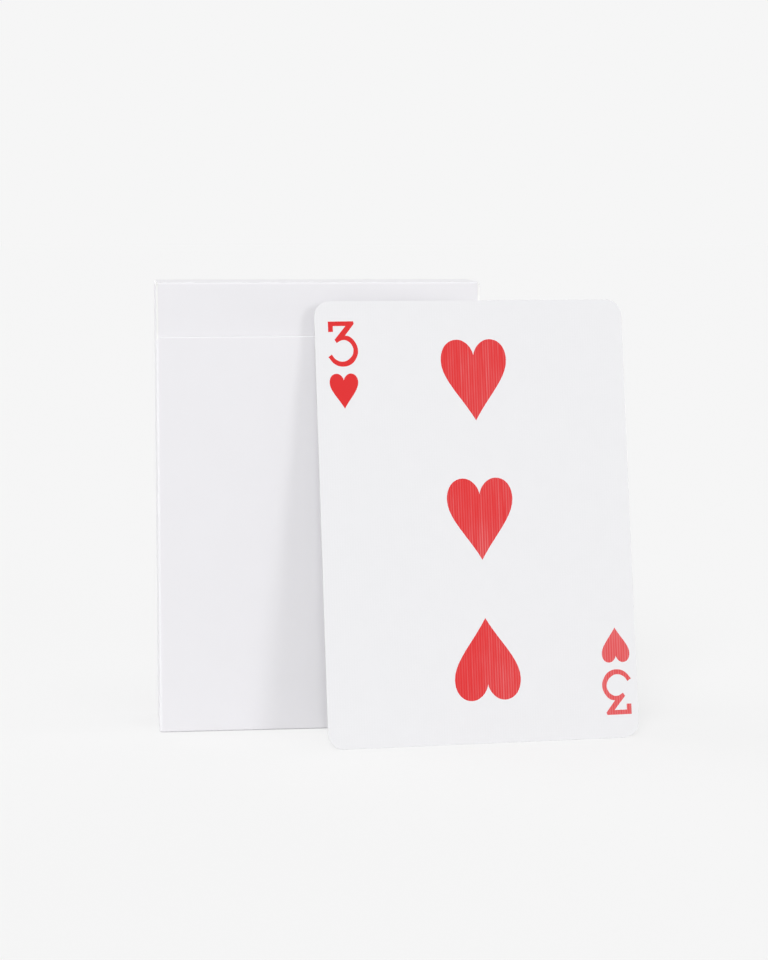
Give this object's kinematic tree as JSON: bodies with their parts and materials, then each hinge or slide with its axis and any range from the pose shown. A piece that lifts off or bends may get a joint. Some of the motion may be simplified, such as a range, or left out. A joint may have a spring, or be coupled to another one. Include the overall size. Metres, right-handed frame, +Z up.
{
  "type": "playing card deck",
  "caption": "Plain white tuck carton standing upright with its lid closed, holding a pack of poker-size playing cards, and one loose card leaning on its front.",
  "frame": {"origin": "centre of the carton's bottom face", "axes": "+Z up, the carton's front faces -Y, +X to the right seen from the front"},
  "size_m": [0.0957, 0.0383, 0.091],
  "materials": {
    "carton_board": "matt white board",
    "card_stock": "linen-embossed coated white card with red and black print"
  },
  "bodies": {
    "carton": {"carton_walls": "carton_board", "carton_bottom": "carton_board"},
    "lid": {"lid": "carton_board"},
    "tuck_flap": {"tuck_flap": "carton_board"},
    "left_dust_flap": {"left_dust_flap": "carton_board"},
    "right_dust_flap": {"right_dust_flap": "carton_board"},
    "pack": {"first_joker": "card_stock", "second_joker": "card_stock", "ace_of_spades": "card_stock", "two_of_spades": "card_stock", "three_of_spades": "card_stock", "four_of_spades": "card_stock", "five_of_spades": "card_stock", "six_of_spades": "card_stock", "seven_of_spades": "card_stock", "eight_of_spades": "card_stock", "nine_of_spades": "card_stock", "ten_of_spades": "card_stock", "jack_of_spades": "card_stock", "queen_of_spades": "card_stock", "king_of_spades": "card_stock", "ace_of_hearts": "card_stock", "two_of_hearts": "card_stock", "four_of_hearts": "card_stock", "five_of_hearts": "card_stock", "six_of_hearts": "card_stock", "seven_of_hearts": "card_stock", "eight_of_hearts": "card_stock", "nine_of_hearts": "card_stock", "ten_of_hearts": "card_stock", "jack_of_hearts": "card_stock", "queen_of_hearts": "card_stock", "king_of_hearts": "card_stock", "ace_of_diamonds": "card_stock", "two_of_diamonds": "card_stock", "three_of_diamonds": "card_stock", "four_of_diamonds": "card_stock", "five_of_diamonds": "card_stock", "six_of_diamonds": "card_stock", "seven_of_diamonds": "card_stock", "eight_of_diamonds": "card_stock", "nine_of_diamonds": "card_stock", "ten_of_diamonds": "card_stock", "jack_of_diamonds": "card_stock", "queen_of_diamonds": "card_stock", "king_of_diamonds": "card_stock", "ace_of_clubs": "card_stock", "two_of_clubs": "card_stock", "three_of_clubs": "card_stock", "four_of_clubs": "card_stock", "five_of_clubs": "card_stock", "six_of_clubs": "card_stock", "seven_of_clubs": "card_stock", "eight_of_clubs": "card_stock", "nine_of_clubs": "card_stock", "ten_of_clubs": "card_stock", "jack_of_clubs": "card_stock", "queen_of_clubs": "card_stock", "king_of_clubs": "card_stock"},
    "loose_card": {"three_of_hearts": "card_stock"}
  },
  "joints": [
    {"name": "lid_hinge", "type": "hinge", "parent": "carton", "child": "lid", "pos_m": [0, 0.00929, 0.09082], "axis": [-1, 0, 0], "range_deg": [0, 107]},
    {"name": "tuck_flap_hinge", "type": "hinge", "parent": "lid", "child": "tuck_flap", "pos_m": [0, -0.00854, 0.09064], "axis": [-1, 0, 0], "range_deg": [-88, 0]},
    {"name": "left_dust_flap_hinge", "type": "hinge", "parent": "carton", "child": "left_dust_flap", "pos_m": [-0.03232, 0, 0.09041], "axis": [0, -1, 0], "range_deg": [0, 21]},
    {"name": "right_dust_flap_hinge", "type": "hinge", "parent": "carton", "child": "right_dust_flap", "pos_m": [0.03232, 0, 0.09041], "axis": [0, 1, 0], "range_deg": [0, 21]},
    {"name": "pack_lift", "type": "slide", "parent": "carton", "child": "pack", "axis": [0, 0, 1], "range_m": [0, 0.0005]},
    {"name": "loose_card_lift_off", "type": "slide", "parent": "carton", "child": "loose_card", "axis": [0.0753, -0.9784, 0.1925], "range_m": [0, 0.06]}
  ],
  "couplings": [
    {"joint": "tuck_flap_hinge", "follows": "lid_hinge", "ratio": -0.815},
    {"joint": "left_dust_flap_hinge", "follows": "lid_hinge", "ratio": 0.18},
    {"joint": "right_dust_flap_hinge", "follows": "lid_hinge", "ratio": 0.18}
  ]
}
